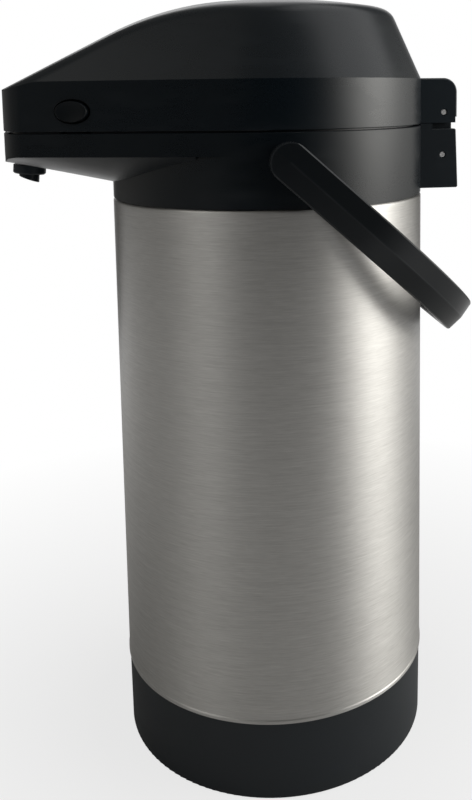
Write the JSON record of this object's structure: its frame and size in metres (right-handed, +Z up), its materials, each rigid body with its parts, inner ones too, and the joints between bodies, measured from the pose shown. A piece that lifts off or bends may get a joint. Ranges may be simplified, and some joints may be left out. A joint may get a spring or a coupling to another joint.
{
  "type": "airpot",
  "caption": "Tall push-button airpot with a brushed steel body, black spout nose, hinged domed lid, side latch buttons and a swinging carry handle.",
  "frame": {"origin": "centre of the round base on the surface that it stands on, on the body's own axis", "axes": "+Z up the body, -Y towards the spout, +Y towards the lid hinge, X across the latch buttons"},
  "size_m": [0.184, 0.2422, 0.3923],
  "materials": {
    "black_plastic": "satin moulded",
    "dark_plastic": "fine matt",
    "inner_plastic": "smooth moulded",
    "brushed_steel": "horizontal brushed grain",
    "stainless": "bright turned",
    "silvered_glass": "clear, silvered between the walls",
    "silicone": "soft matt",
    "black_rubber": "soft matt"
  },
  "bodies": {
    "flask_body": {"base_cap": "black_plastic", "foot_ring": "black_rubber", "flask_cushion": "black_rubber", "body_shell": "brushed_steel", "glass_flask": "silvered_glass", "neck_gasket": "silicone", "mouth_ring": "inner_plastic", "dip_tube": "inner_plastic", "tube_seal": "silicone", "discharge_tube": "inner_plastic", "collar": "black_plastic", "spout_cover": "black_plastic", "cover_screws": "stainless", "nozzle_collar": "black_plastic", "nozzle_tip": "black_plastic", "hinge_bracket": "black_plastic", "bracket_pin": "stainless"},
    "lid": {"lid_shell": "black_plastic", "lid_liner": "inner_plastic", "liner_screws": "stainless", "lid_gasket": "silicone", "hinge_hood": "black_plastic", "hood_screws": "stainless", "hinge_pin": "stainless", "air_valve": "silicone", "bellows": "silicone", "return_spring": "stainless"},
    "button": {"push_button": "black_plastic", "bellows_cap": "inner_plastic"},
    "lock": {"lock_slider": "black_plastic"},
    "latch_left": {"latch_left": "dark_plastic"},
    "latch_right": {"latch_right": "dark_plastic"},
    "handle": {"carry_handle": "black_plastic", "pivot_washers": "stainless", "pivot_screws": "stainless"}
  },
  "joints": [
    {"name": "lid_hinge", "type": "hinge", "parent": "flask_body", "child": "lid", "pos_m": [0, 0.0936, 0.3334], "axis": [-1, 0, 0], "range_deg": [0, 90]},
    {"name": "button_press", "type": "slide", "parent": "lid", "child": "button", "axis": [0, 0, -1], "range_m": [0, 0.028], "stiffness_N_per_m": 900, "springref_m": -0.008, "deforming": ["bellows", "return_spring"]},
    {"name": "lock_slide", "type": "slide", "parent": "button", "child": "lock", "axis": [1, 0, 0], "range_m": [0, 0.008]},
    {"name": "latch_left_press", "type": "slide", "parent": "lid", "child": "latch_left", "axis": [-0.9563, 0.2924, 0], "range_m": [0, 0.003], "stiffness_N_per_m": 1500, "springref_m": -0.002},
    {"name": "latch_right_press", "type": "slide", "parent": "lid", "child": "latch_right", "axis": [0.9563, 0.2924, 0], "range_m": [0, 0.003], "stiffness_N_per_m": 1500, "springref_m": -0.002},
    {"name": "handle_swing", "type": "hinge", "parent": "flask_body", "child": "handle", "pos_m": [0, 0, 0.3136], "axis": [1, 0, 0], "range_deg": [0, 196]}
  ]
}
